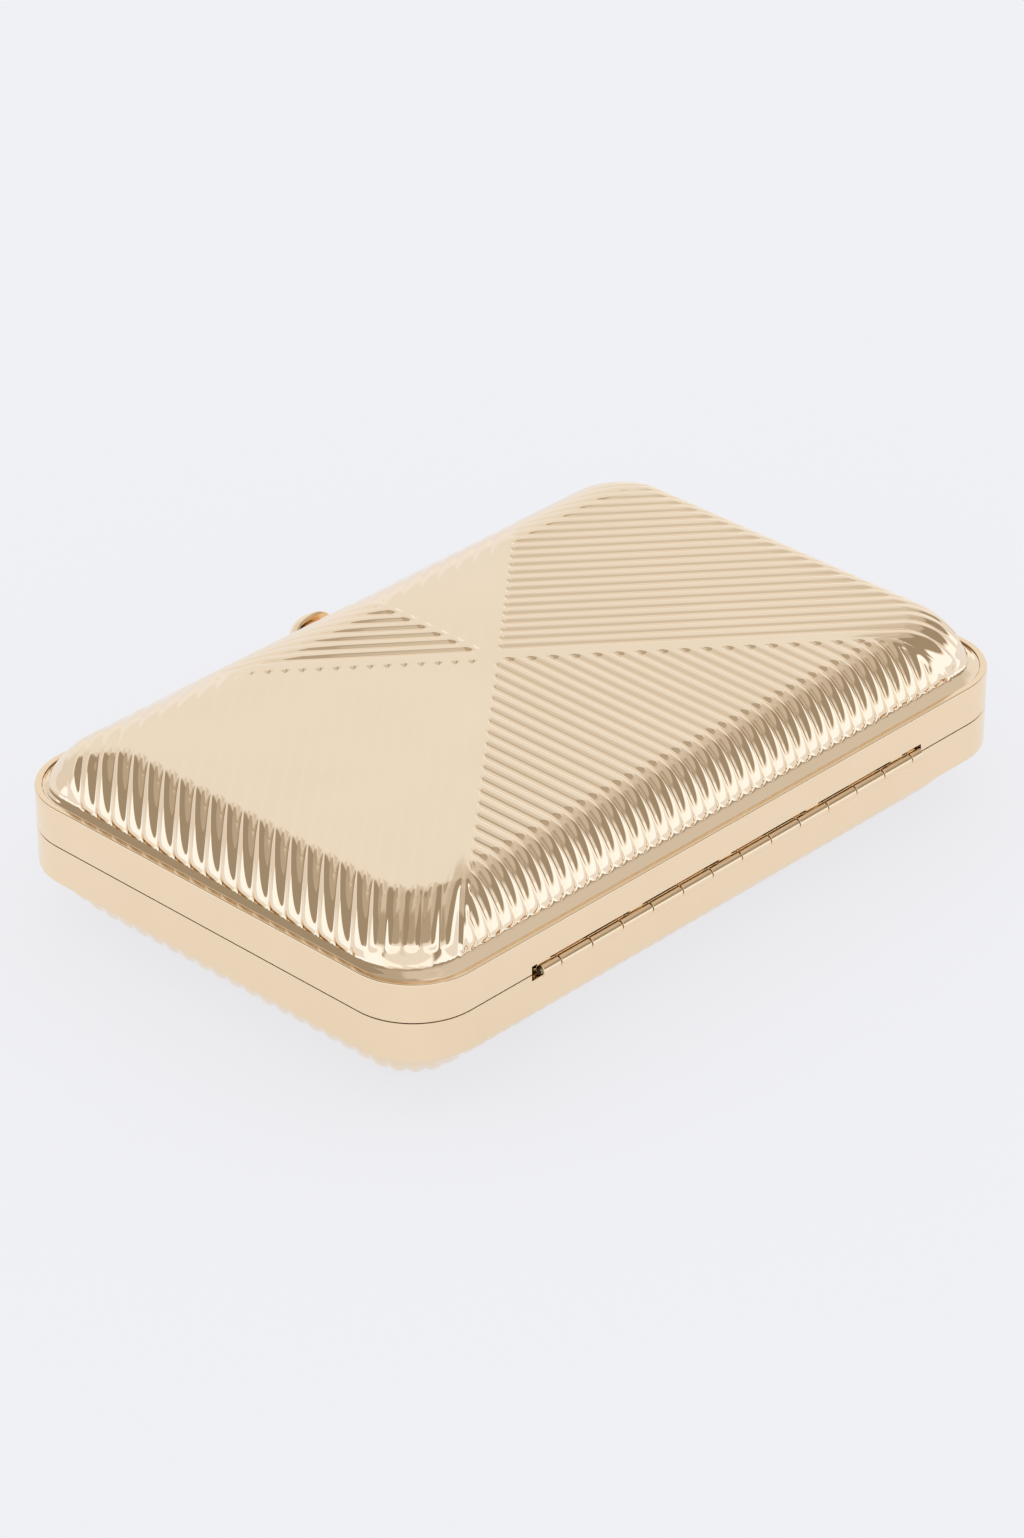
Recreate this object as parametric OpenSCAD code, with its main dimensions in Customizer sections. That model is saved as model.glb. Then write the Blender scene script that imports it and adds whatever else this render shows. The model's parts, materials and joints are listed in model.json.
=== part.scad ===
// Hard-shell metal box clutch, lying on its back.
// X runs along the case, the hinge is at -Y and the clasp button at +Y.
// Z runs up through both halves. The origin is under the middle of the case, on the table.

/* [Case] */
// Length of the frame
case_l = 180; // [150:1:220]
// Width of the frame, from the hinge side to the clasp side
case_w = 118; // [95:1:140]
// Radius of the frame's corners, seen from above
corner_r = 15.4; // [12:0.2:22]
// Height from the seam to the crests of the ribs
half_depth = 21.2; // [19:0.2:26]

/* [Frame] */
// Height of each frame band
frame_h = 8.9; // [8:0.1:10.5]
// Thickness of the band's wall
frame_t = 1.5; // [1.2:0.1:1.6]
// Width of the inner ledge that carries the shell
ledge_w = 2.4; // [1.8:0.1:2.6]
// Thickness of the ledge
ledge_t = 0.9; // [0.6:0.1:1.2]
// Gap between the two bands at the seam
seam_gap = 0.2; // [0.1:0.05:0.3]

/* [Shell] */
// Thickness of the stamped sheet
shell_t = 0.7; // [0.5:0.1:0.9]
// Inset of the flat top from the outside of the frame
top_inset = 15; // [13:0.5:20]
// Corner radius of the flat top
top_r = 8; // [6:0.5:10]
// Inset of the foot of the side slope
foot_inset = 4.2; // [4:0.1:5]
// Corner radius of the foot of the side slope
foot_r = 18; // [15:0.5:20]
// Height of the foot of the slope above the frame's edge
foot_rise = 1.4; // [1.2:0.1:2]

/* [Ribs] */
// Distance from one rib to the next
rib_pitch = 3.47; // [3.2:0.01:6]
// Width of a rib at its base
rib_w = 2.4; // [1.8:0.1:2.6]
// Width of a rib's flat crest
crest_w = 0.9; // [0.6:0.1:1.2]
// Height of a rib above the sheet
rib_h = 0.65; // [0.4:0.05:0.9]
// Width of the smooth bands between the fields of ribs
band_w = 2.2; // [1.6:0.1:4]
// Angle of the crossing bands to the long side
band_angle = 40.5; // [36:0.5:44]
// Distance of the crossing from the middle, towards the clasp
cross_y = 7.6; // [0:0.2:14]

/* [Hinge] */
// Length of the hinge barrel
hinge_l = 114.3; // [80:0.1:116]
// Shift of the barrel along the case
hinge_shift = 1.5; // [0:0.1:2]
// Radius of the barrel
barrel_r = 1.3; // [1.2:0.05:1.5]
// Radius of the hinge pin
pin_r = 0.6; // [0.5:0.05:0.7]
// Length of a full knuckle
knuckle_pitch = 8.8; // [6:0.1:12]
// Length of the first knuckle, where the strip is cut
knuckle_first = 5.1; // [3:0.1:8]
// Thickness of the leaves
leaf_t = 0.7; // [0.5:0.05:0.8]
// Height of the leaves inside the frame
leaf_h = 5.6; // [4:0.1:5.8]

/* [Clasp] */
// Radius of the button
button_r = 6.2; // [5:0.1:7]
// Height of the button's dome
dome_h = 4.6; // [3.5:0.1:5]
// Radius of the stem
stem_r = 1.5; // [1.3:0.05:1.7]
// How far the button presses in
button_travel = 1.8; // [1.6:0.05:2.4]

/* [Lining] */
// Thickness of the liner board
board_t = 0.9; // [0.6:0.1:1.2]
// Thickness of the lining fabric
lining_t = 0.5; // [0.3:0.1:0.7]

/* [Hidden] */

$fn = 64;
corner_steps = 5;
halvings = 12;
cut = 1;
fit_gap = 0.05;
layer_gap = 0.12;

gold = [0.91, 0.84, 0.72];
steel = [0.72, 0.72, 0.70];
cloth = [0.30, 0.22, 0.17];
card = [0.62, 0.55, 0.46];

// Levels above the seam, the same in both halves: the shell's flange lies on the frame's ledge,
// a lip below the edge of the band
lip_h = 0.45;
seam_z = half_depth;
top_h = half_depth - rib_h;
flange_h = frame_h - lip_h;
ledge_top = flange_h - shell_t;
ledge_bottom = ledge_top - ledge_t;
ledge_inset = frame_t + ledge_w;
flange_inset = frame_t + layer_gap;
foot_h = frame_h + foot_rise;

// The sheet's outer profile, from the flange's edge over the foot to the flat top
fillet_run_shares = [0, 0.55, 0.80, 1];
fillet_rise_shares = [0, 0.05, 0.32, 1];
slope_run_shares = [0.40, 0.75, 1];
slope_rise_shares = [0.57, 0.905, 1];
sheet_profile = concat(
    [for (i = [0 : len(fillet_run_shares) - 1])
        [flange_inset + (foot_inset - flange_inset) * fillet_run_shares[i],
         flange_h + (foot_h - flange_h) * fillet_rise_shares[i]]],
    [for (i = [0 : len(slope_run_shares) - 1])
        [foot_inset + (top_inset - foot_inset) * slope_run_shares[i],
         foot_h + (top_h - foot_h) * slope_rise_shares[i]]]);
foot_index = len(fillet_run_shares) - 1;
slope_profile = [for (i = [foot_index : len(sheet_profile) - 1]) sheet_profile[i]];

// Direction of a profile at point i, and the point moved inwards by t
function run_of(p, i) = p[min(i + 1, len(p) - 1)] - p[max(i - 1, 0)];
function inward(p, i, t) = let (v = run_of(p, i)) p[i] + t * [v[1], -v[0]] / norm(v);
function offset_profile(p, t) = [for (i = [0 : len(p) - 1]) inward(p, i, t)];

// Corner radius of the outline at an inset: wider at the foot, tighter at the top
function ring_r(d) = d <= flange_inset ? corner_r - d
    : lookup(d, [[flange_inset, corner_r - flange_inset], [foot_inset, foot_r],
                 [top_inset, top_r]]);

// Points of the rounded outline at an inset
function ring(d, h) = let (r = ring_r(d), a = case_l / 2 - d - r, b = case_w / 2 - d - r)
    [for (q = [0 : 3], i = [0 : corner_steps])
        let (turn = 90 * (q + i / corner_steps))
        [(q == 0 || q == 3 ? a : -a) + r * cos(turn), (q < 2 ? b : -b) + r * sin(turn), h]];

// Closed solid through a stack of outlines, each an inset and a height
module loft(levels) {
    n = 4 * (corner_steps + 1);
    last = len(levels) - 1;
    points = [for (level = levels) each ring(level[0], level[1])];
    sides = [for (k = [0 : last - 1], i = [0 : n - 1])
        [k * n + i, (k + 1) * n + i, (k + 1) * n + (i + 1) % n, k * n + (i + 1) % n]];
    bottom = [for (i = [0 : n - 1]) i];
    top = [for (i = [0 : n - 1]) (last + 1) * n - 1 - i];
    polyhedron(points, concat(sides, [bottom, top]));
}

// Where a line leaves the outline at an inset: the distance from p along the unit way u
function leaves_at(p, u, d) =
    let (r = ring_r(d),
         a = case_l / 2 - d,
         b = case_w / 2 - d,
         tx = u[0] == 0 ? 1 / 0 : (sign(u[0]) * a - p[0]) / u[0],
         ty = u[1] == 0 ? 1 / 0 : (sign(u[1]) * b - p[1]) / u[1],
         t = min(tx, ty),
         q = p + t * u)
    abs(q[0]) <= a - r || abs(q[1]) <= b - r ? t
    : let (m = p - [sign(q[0]) * (a - r), sign(q[1]) * (b - r)],
           k = m * u,
           s = k * k - m * m + r * r)
      s < 0 ? t : -k + sqrt(s);

// Whether a point lies inside the outline at an inset
function is_inside(p, d) =
    let (r = ring_r(d),
         m = [max(abs(p[0]) - case_l / 2 + d + r, 0), max(abs(p[1]) - case_w / 2 + d + r, 0)])
    norm(m) <= r;

// The inset of the outline that passes through a point, found by halving
function inset_of(p, low = foot_inset, high = top_inset, n = halvings) =
    let (middle = (low + high) / 2)
    n == 0 ? middle
    : is_inside(p, middle) ? inset_of(p, middle, high, n - 1)
    : inset_of(p, low, middle, n - 1);

// Heights of the sheet along a line from foot to foot. A line across a corner, which stays on
// the slope, has its peak at p.
function heights(p, u) =
    let (crossed = [for (q = slope_profile) if (is_inside(p, q[0])) q],
         n = len(crossed),
         peak = n > 0 && n < len(slope_profile) ? [[0, lookup(inset_of(p), slope_profile)]] : [])
    concat([for (i = [0 : 1 : n - 1]) [-leaves_at(p, -u, crossed[i][0]), crossed[i][1]]],
           peak,
           [for (i = [n - 1 : -1 : 0]) [leaves_at(p, u, crossed[i][0]), crossed[i][1]]]);

// The stretch of a line's heights between two distances
function stretch(line, t0, t1) = concat([[t0, lookup(t0, line)]],
    [for (q = line) if (q[0] > t0 + crest_w && q[0] < t1 - crest_w) q],
    [[t1, lookup(t1, line)]]);

// One rib, along the line through p in direction angle, from distance t0 to t1
module rib(p, angle, t0, t1) {
    u = [cos(angle), sin(angle)];
    line = heights(p, u);
    from = len(line) > 0 ? max(t0, line[0][0]) : 0;
    to = len(line) > 0 ? min(t1, line[len(line) - 1][0]) : 0;
    if (to - from > 2 * rib_w) {
        base = offset_profile(stretch(line, from, to), shell_t / 2);
        crest = offset_profile(stretch(line, from + rib_h, to - rib_h), -rib_h);
        translate([p[0], p[1], 0]) rotate([0, 0, angle]) hull() {
            rotate([90, 0, 0]) linear_extrude(rib_w, center = true) polygon(base);
            rotate([90, 0, 0]) linear_extrude(crest_w, center = true) polygon(crest);
        }
    }
}

// Ribs square to the hinge side, in the triangle next to the hinge
module hinge_field_ribs() {
    side_count = floor((case_l / 2 - top_inset) / rib_pitch);
    for (k = [-side_count : side_count]) {
        x = k * rib_pitch;
        reach = cross_y - abs(x) * tan(band_angle) - band_w / 2 / cos(band_angle);
        rib([x, 0], 90, -case_w, reach);
    }
}

// Ribs along one band, in the field next to the left short side
module side_field_ribs() {
    along = [cos(band_angle), sin(band_angle)];
    across = [-sin(band_angle), cos(band_angle)];
    to_corner = [-case_l / 2 + foot_inset, case_w / 2 - foot_inset - cross_y];
    count = floor(to_corner * across / rib_pitch);
    for (k = [0 : count - 1]) {
        s = (band_w + rib_w) / 2 + k * rib_pitch;
        p = to_corner * s / (to_corner * across);
        reach = -s / tan(2 * band_angle) - band_w / 2 / sin(2 * band_angle);
        rib(p + [0, cross_y], band_angle, -case_l, reach - p * along);
    }
}

// Ribs of the left half of the field next to the clasp
module clasp_field_ribs() {
    count = floor((case_w / 2 - foot_inset - cross_y) * cos(band_angle) / rib_pitch);
    for (k = [0 : count - 1]) {
        s = (band_w + rib_w) / 2 + k * rib_pitch;
        p = [s * sin(band_angle), cross_y + s * cos(band_angle)];
        start = s * tan(band_angle) + band_w / 2 / cos(band_angle);
        rib(p, 180 - band_angle, start, case_l);
    }
}

module ribs() {
    hinge_field_ribs();
    for (side = [0, 1]) mirror([side, 0, 0]) {
        side_field_ribs();
        clasp_field_ribs();
    }
}

// Solid under the outside of the sheet, from the flange up
module sheet_outside() {
    loft(sheet_profile);
}

module sheet_inside() {
    inner = offset_profile(sheet_profile, shell_t);
    loft(concat([[flange_inset + shell_t, flange_h - shell_t - cut]],
                [for (i = [1 : len(inner) - 1]) inner[i]]));
}

// A stamped shell above the seam at height 0
module shell_half() {
    difference() {
        union() {
            translate([0, 0, -shell_t]) loft([sheet_profile[0], sheet_profile[0] + [0, shell_t]]);
            sheet_outside();
            ribs();
        }
        sheet_inside();
    }
}

// Exact rounded plate at an inset, between two heights
module plate(d, h0, h1) {
    r = corner_r - d;
    l = case_l - 2 * d;
    w = case_w - 2 * d;
    translate([0, 0, h0]) linear_extrude(h1 - h0) {
        square([l - 2 * r, w], center = true);
        square([l, w - 2 * r], center = true);
        for (x = [-1, 1], y = [-1, 1]) translate([x * (l / 2 - r), y * (w / 2 - r)]) circle(r);
    }
}

// Box on one long side, from inset d0 to d1 and height h0 to h1, between two places along X
module side_box(side, x0, x1, d0, d1, h0, h1) {
    y0 = side * (case_w / 2 - d1);
    y1 = side * (case_w / 2 - d0);
    translate([x0, min(y0, y1), h0]) cube([x1 - x0, abs(y1 - y0), h1 - h0]);
}

// A frame band above the seam at height 0
module frame_half() {
    difference() {
        plate(0, seam_gap / 2, frame_h);
        plate(frame_t, -cut, ledge_top - ledge_t);
        plate(ledge_inset, -cut, frame_h + cut);
        plate(frame_t, ledge_top, frame_h + cut);
    }
}

// Hinge: the axis lies just outside the frame's outer face, at the seam
axis_out = 0.1;
axis_y = -case_w / 2 - axis_out;
barrel_gap = 0.15;
knuckle_gap = 0.12;
notch_before = 2;
notch_after = 0.5;
notch_h = barrel_r + barrel_gap;
slot_rise = 0.45;
slot_h = notch_h + slot_rise;
tab_w = 3.7;
tab_start = 1.3;
tab_every = 3;
tab_step = tab_every * knuckle_pitch;
leaf_gap = seam_gap / 2 + fit_gap;
strip_d = barrel_r + 2 * barrel_gap - axis_out;
bore_r = pin_r + fit_gap;
web_d = (bore_r + barrel_r) / 2 - axis_out;
hinge_x0 = hinge_shift - hinge_l / 2;
hinge_x1 = hinge_shift + hinge_l / 2;
full_knuckles = floor((hinge_l - knuckle_first) / knuckle_pitch);
knuckle_ends = concat([hinge_x0],
    [for (i = [0 : full_knuckles]) hinge_x0 + knuckle_first + i * knuckle_pitch],
    [hinge_x1]);

module hinge_notch(h) {
    side_box(-1, hinge_x0 - notch_before, hinge_x1 + notch_after,
             -cut, frame_t + fit_gap, -cut, h);
}

// One leaf above the seam, with every other knuckle, the first being knuckle number start
module leaf_half(start) {
    side_box(-1, hinge_x0, hinge_x1, strip_d, frame_t + leaf_t, leaf_gap, leaf_gap + leaf_t);
    side_box(-1, hinge_x0, hinge_x1, frame_t, frame_t + leaf_t, leaf_gap, leaf_h);
    for (i = [start : 2 : len(knuckle_ends) - 2]) {
        x0 = knuckle_ends[i] + knuckle_gap / 2;
        x1 = knuckle_ends[i + 1] - knuckle_gap / 2;
        side_box(-1, x0, x1, web_d, strip_d + fit_gap, leaf_gap, leaf_gap + leaf_t);
        translate([x0, axis_y, 0]) rotate([0, 90, 0]) difference() {
            cylinder(r = barrel_r, h = x1 - x0);
            translate([0, 0, -cut]) cylinder(r = bore_r, h = x1 - x0 + 2 * cut);
        }
    }
}

// Clasp: insets are measured from the frame's outer face, inwards
under_ledge = 0.35;

// Collar, a flanged tube that just clears the underside of the ledge
collar_wall = 1;
collar_tube_r = stem_r + collar_wall;
collar_brim = 0.9;
collar_r = collar_tube_r + collar_brim;
collar_flange = 0.6;
stem_rise = ledge_bottom - fit_gap - collar_tube_r;

// Button
button_clear = 0.2;
button_lift = button_travel + button_clear;
button_edge = 0.8;
edge_bevel = 0.3;
edge_land = 0.3;
hollow_gap = 0.4;
button_hollow_r = collar_r + hollow_gap;
button_hollow_h = collar_flange + hollow_gap;
shoulder = 0.5;
neck_r = stem_r - shoulder;

// Keeper, on the back frame. Its heights are below the seam.
keeper_off = 0.7;
keeper_d = frame_t + keeper_off;
keeper_t = 0.8;
keeper_low = 1.1;
keeper_high = ledge_bottom - under_ledge;
keeper_bar = 1.2;
window_gap = 0.2;

// Hook, whose nose reaches through the keeper's window
nose_w = 6;
nose_h = 1.4;
nose_clear = 0.3;
nose_bevel = 0.8;
nose_d = frame_t + nose_clear;
nose_top = -keeper_low - keeper_bar - window_gap;
nose_bottom = nose_top - nose_h;
hook_gap = 0.4;
hook_d = keeper_d + keeper_t + hook_gap;
hook_t = 0.8;
hook_w = 8;
hook_top = ledge_bottom - under_ledge;
stop_gap = 0.1;
collar_end = hook_d - stop_gap;
window_top = nose_top + window_gap;
window_bottom = nose_bottom - 3 * window_gap;
window_w = nose_w + 4 * window_gap;

// Clip that holds the hook on the stem's neck
clip_t = 0.4;
clip_wall = 1.05;
clip_r = neck_r + fit_gap + clip_wall;
clip_slot = 1.2;
clip_d = hook_d + hook_t + fit_gap;

// Spring between the clip and the housing, with room for its closed turns and the travel
coil_wire = 0.2;
coil_turns = 3;
coil_gap = 0.6;
coil_r = neck_r + coil_gap + coil_wire;
coil_rings = 14;
coil_sides = 6;
spring_slack = 0.2;
spring_d = clip_d + clip_t + fit_gap;
spring_l = 2 * coil_wire * (coil_turns + 1) + button_travel + spring_slack;

// Housing, a strap in the lid behind the clasp
housing_d = spring_d + spring_l + fit_gap;
housing_t = 0.7;
housing_w = 12;
housing_foot = 3.5;
housing_low = 1;
housing_gap = 0.15;
housing_high = ledge_bottom - housing_gap;
stem_over = 0.8;
stem_end = housing_d + housing_t + stem_over;

// Space for the clasp in the rims and linings
bay_gap = 0.5;
bay_side = 1.5;
bay_w = housing_w + 2 * housing_foot + 2 * bay_side;
bay_d_front = stem_end + button_travel + bay_gap;
bay_d_back = hook_d + hook_t + button_travel + 3 * bay_gap;
bay_h_front = housing_high + 3 * bay_gap;
bay_h_back = keeper_high + bay_gap;

// Carries its child from the clasp's axis: +Z of the child runs inwards from inset d
module at_clasp(d) {
    translate([0, case_w / 2 - d, seam_z + stem_rise]) rotate([90, 0, 0]) children();
}

module clasp_tube(d0, d1, outer, inner) {
    at_clasp(d0) difference() {
        cylinder(r = outer, h = d1 - d0);
        translate([0, 0, -cut]) cylinder(r = inner, h = d1 - d0 + 2 * cut);
    }
}

module collar_bore() {
    at_clasp(-cut) cylinder(r = collar_tube_r + fit_gap, h = frame_t + 2 * cut);
}

module bay(depth, height) {
    side_box(1, -bay_w / 2, bay_w / 2, -cut, depth, -cut, height);
}

// Rim: trim over the lining's edge, with a leg that stands just inside the ledge
rim_low = 0.3;
rim_t = 0.6;
rim_leg_t = 0.5;
rim_leg_gap = 0.1;
rim_leg_d = ledge_inset - rim_leg_gap - rim_leg_t;
rim_leg_h = ledge_bottom - 2 * layer_gap;
leaf_clear = 0.4;
rim_hinge_d = frame_t + leaf_t + leaf_clear;

// Liner boards and linings: formed trays, from the rim up to the shell
tray_side_gap = 0.2;
tray_gap = 0.35;
tray_d = ledge_inset + tray_side_gap;
tray_low = rim_low + rim_t + fit_gap;
tray_knee = ledge_top + layer_gap;
board_depth = shell_t + tray_gap;
lining_depth = board_depth + board_t + layer_gap;
lining_d = tray_d + board_t + layer_gap;
rim_inset = lining_d + lining_t + 2 * layer_gap;

module rim_half(bay_depth) {
    difference() {
        union() {
            difference() {
                plate(flange_inset, rim_low, rim_low + rim_t);
                plate(rim_inset, -cut, frame_h);
            }
            difference() {
                plate(rim_leg_d, rim_low, rim_leg_h);
                plate(rim_leg_d + rim_leg_t, -cut, frame_h);
            }
        }
        side_box(-1, hinge_x0 - notch_before, hinge_x1 + notch_before,
                 -cut, rim_hinge_d, -cut, frame_h);
        bay(bay_depth, frame_h);
    }
}

// Solid under a layer inside the shell: depth is below the sheet's outer face, d the wall's inset
module layer_solid(depth, d, low) {
    under = offset_profile(sheet_profile, depth);
    loft(concat([[d, low], [d, tray_knee]],
                [for (i = [foot_index : len(under) - 1]) under[i]]));
}

module tray_half(depth, d, t, bay_depth, bay_height) {
    difference() {
        layer_solid(depth, d, tray_low);
        layer_solid(depth + t, d + t, tray_low - cut);
        bay(bay_depth, bay_height);
    }
}

// Coil along +Z from height 0: one unbroken wire
module coil(r, wire, length, turns) {
    rings = ceil(turns * coil_rings);
    rise = length - 2 * wire;
    points = [for (k = [0 : rings], i = [0 : coil_sides - 1])
        let (turn = 360 * turns * k / rings,
             a = 360 * i / coil_sides,
             out = r + wire * cos(a))
        [out * cos(turn), out * sin(turn), wire + rise * k / rings + wire * sin(a)]];
    skin = [for (k = [0 : rings - 1], i = [0 : coil_sides - 1])
        let (next = (i + 1) % coil_sides)
        [k * coil_sides + i, k * coil_sides + next,
         (k + 1) * coil_sides + next, (k + 1) * coil_sides + i]];
    first = [for (i = [0 : coil_sides - 1]) coil_sides - 1 - i];
    final = [for (i = [0 : coil_sides - 1]) rings * coil_sides + i];
    polyhedron(points, concat(skin, [first, final]));
}

module at_front() { translate([0, 0, seam_z]) children(); }
module at_back() { translate([0, 0, seam_z]) mirror([0, 0, 1]) children(); }

module back_shell() { color(gold) at_back() shell_half(); }
module front_shell() { color(gold) at_front() shell_half(); }

module back_frame() {
    color(gold) at_back() difference() {
        frame_half();
        hinge_notch(notch_h);
    }
}

module front_frame() {
    color(gold) difference() {
        at_front() difference() {
            frame_half();
            difference() {
                hinge_notch(slot_h);
                for (x = [hinge_x0 + tab_start : tab_step : hinge_x1])
                    side_box(-1, x - tab_w / 2, x + tab_w / 2,
                             -2 * cut, frame_t + cut, notch_h, frame_h);
            }
        }
        collar_bore();
    }
}

module back_hinge_leaf() { color(gold) at_back() leaf_half(0); }
module front_hinge_leaf() { color(gold) at_front() leaf_half(1); }

module hinge_pin() {
    color(steel) translate([hinge_x0 - leaf_gap, axis_y, seam_z]) rotate([0, 90, 0])
        cylinder(r = pin_r, h = hinge_l + 2 * leaf_gap);
}

module back_liner_board() {
    color(card) at_back() tray_half(board_depth, tray_d, board_t, bay_d_back, bay_h_back);
}

module front_liner_board() {
    color(card) at_front() tray_half(board_depth, tray_d, board_t, bay_d_front, bay_h_front);
}

module back_lining() {
    color(cloth) at_back() tray_half(lining_depth, lining_d, lining_t, bay_d_back, bay_h_back);
}

module front_lining() {
    color(cloth) at_front() tray_half(lining_depth, lining_d, lining_t, bay_d_front, bay_h_front);
}

module back_rim() {
    color(gold) at_back() rim_half(bay_d_back);
}

module front_rim() {
    color(gold) at_front() rim_half(bay_d_front);
}

// Catch plate on the back frame, with the window that the hook's nose enters
module latch_keeper() {
    half = housing_w / 2;
    color(steel) at_back() {
        difference() {
            side_box(1, -half, half, keeper_d, keeper_d + keeper_t, keeper_low, keeper_high);
            side_box(1, -window_w / 2, window_w / 2, 0, housing_d, -window_top, -window_bottom);
        }
        for (side = [-1, 1]) {
            foot = [side * (half - housing_t), side * (half + housing_foot)];
            side_box(1, min(foot), max(foot), frame_t, keeper_d + fit_gap, keeper_low, keeper_high);
        }
    }
}

// Strap in the lid that carries the spring and the inner end of the stem
module latch_housing() {
    half = housing_w / 2;
    color(steel) difference() {
        at_front() {
            side_box(1, -half, half, housing_d, housing_d + housing_t, housing_low, housing_high);
            for (side = [-1, 1]) {
                wall = [side * half, side * (half - housing_t)];
                foot = [side * (half - housing_t), side * (half + housing_foot)];
                side_box(1, min(wall), max(wall), frame_t, housing_d + housing_t,
                         housing_low, housing_high);
                side_box(1, min(foot), max(foot), frame_t, frame_t + housing_t,
                         housing_low, housing_high);
            }
        }
        at_clasp(frame_t) cylinder(r = neck_r + 2 * fit_gap, h = housing_d);
    }
}

module clasp_collar() {
    color(gold) {
        clasp_tube(-collar_flange, 0, collar_r, stem_r + fit_gap);
        clasp_tube(-collar_flange, collar_end, collar_tube_r, stem_r + fit_gap);
    }
}

// Domed button with its stem, which steps down behind the hook
module clasp_button() {
    dome_base = button_r - edge_bevel - edge_land;
    dome_r = (dome_base * dome_base + dome_h * dome_h) / (2 * dome_h);
    color(gold) {
        at_clasp(-button_lift) difference() {
            union() {
                translate([0, 0, edge_bevel - button_edge])
                    cylinder(r = button_r, h = button_edge - edge_bevel);
                translate([0, 0, -button_edge])
                    cylinder(r1 = button_r - edge_bevel, r2 = button_r, h = edge_bevel);
                intersection() {
                    translate([0, 0, dome_r - dome_h - button_edge]) sphere(r = dome_r);
                    translate([0, 0, -button_edge - dome_h - cut])
                        cylinder(r = dome_r + cut, h = dome_h + cut + fit_gap);
                }
            }
            translate([0, 0, -button_hollow_h])
                cylinder(r = button_hollow_r, h = button_hollow_h + cut);
        }
        at_clasp(-button_lift - button_hollow_h - fit_gap)
            cylinder(r = stem_r, h = button_lift + button_hollow_h + fit_gap + hook_d);
        at_clasp(hook_d - stem_r) cylinder(r = neck_r, h = stem_end - hook_d + stem_r);
    }
}

// Plate on the stem, with a bevelled nose that reaches outwards under the keeper's bar
module latch_hook() {
    root_d = hook_d + hook_t / 2;
    bevel_h = nose_bottom + nose_bevel;
    color(steel) difference() {
        at_front() {
            side_box(1, -hook_w / 2, hook_w / 2, hook_d, hook_d + hook_t, nose_bottom, hook_top);
            translate([-nose_w / 2, case_w / 2, 0]) rotate([90, 0, 90]) linear_extrude(nose_w)
                polygon([[-root_d, nose_bottom], [-hook_d, nose_bottom], [-nose_d, bevel_h],
                         [-nose_d, nose_top], [-root_d, nose_top]]);
        }
        at_clasp(0) cylinder(r = neck_r + fit_gap, h = housing_d);
    }
}

module hook_clip() {
    color(steel) difference() {
        clasp_tube(clip_d, clip_d + clip_t, clip_r, neck_r + fit_gap);
        at_clasp(hook_d) translate([-clip_slot / 2, 0, 0])
            cube([clip_slot, clip_r + cut, housing_d]);
    }
}

module clasp_spring() {
    color(steel) at_clasp(spring_d) coil(coil_r, coil_wire, spring_l, coil_turns);
}

back_frame();
back_shell();
back_hinge_leaf();
hinge_pin();
back_liner_board();
back_lining();
back_rim();
latch_keeper();
front_frame();
front_shell();
front_hinge_leaf();
front_liner_board();
front_lining();
front_rim();
latch_housing();
clasp_collar();
clasp_button();
latch_hook();
hook_clip();
clasp_spring();
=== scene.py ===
"""Looks of a hard-shell metal box clutch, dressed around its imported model.

Sizes are in millimetres until a mesh is made. Heights of the two halves are measured from the
seam, and an inset is measured inwards from the outside of the frame bands.
"""

import json
import math

import bmesh
import bpy
import mathutils
import numpy as np
from mathutils import Matrix, Vector


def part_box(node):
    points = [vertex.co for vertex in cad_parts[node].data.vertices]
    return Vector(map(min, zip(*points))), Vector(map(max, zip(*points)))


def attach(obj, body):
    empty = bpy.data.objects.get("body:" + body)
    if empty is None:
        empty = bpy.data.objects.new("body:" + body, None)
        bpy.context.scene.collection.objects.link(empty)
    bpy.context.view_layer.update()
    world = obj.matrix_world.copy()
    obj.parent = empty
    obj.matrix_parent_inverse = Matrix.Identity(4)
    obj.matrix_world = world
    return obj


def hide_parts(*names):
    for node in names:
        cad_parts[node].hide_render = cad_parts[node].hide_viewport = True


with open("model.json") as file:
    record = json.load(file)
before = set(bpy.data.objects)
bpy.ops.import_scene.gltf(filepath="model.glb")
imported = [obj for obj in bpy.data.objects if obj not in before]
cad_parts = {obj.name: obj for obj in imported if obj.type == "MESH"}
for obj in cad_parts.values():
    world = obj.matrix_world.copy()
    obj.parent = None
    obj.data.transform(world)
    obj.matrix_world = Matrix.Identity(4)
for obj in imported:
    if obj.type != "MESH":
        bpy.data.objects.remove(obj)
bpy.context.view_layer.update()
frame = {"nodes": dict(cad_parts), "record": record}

MM = 0.001

# Case, read off the frame where the frame has it
frame_low, frame_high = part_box("front_frame")
HALF_L = frame_high.x / MM
HALF_W = frame_high.y / MM
SEAM_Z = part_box("front_shell")[1].z / MM / 2
FRAME_TOP = frame_high.z / MM - SEAM_Z
SEAM_GAP = 2 * (frame_low.z / MM - SEAM_Z)
CORNER_R = 15.4

# Sheet of the shells, from the flange over the foot of the slope to the flat top
FLANGE_INSET = HALF_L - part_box("front_shell")[1].x / MM
SHEET_T = 0.7
RIB_STAND = 0.65
FLANGE_SINK = 0.28
FLANGE_H = FRAME_TOP - FLANGE_SINK
FOOT_INSET = 4.2
FOOT_RISE = 1.0
FOOT_R = 12.0
TOP_INSET = 15.0
TOP_R = 8.0
TOP_H = SEAM_Z - RIB_STAND
FILLET_POWER = 1.15
SLOPE_POWER = 2.0
SWELL_POWER = 0.86

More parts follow.
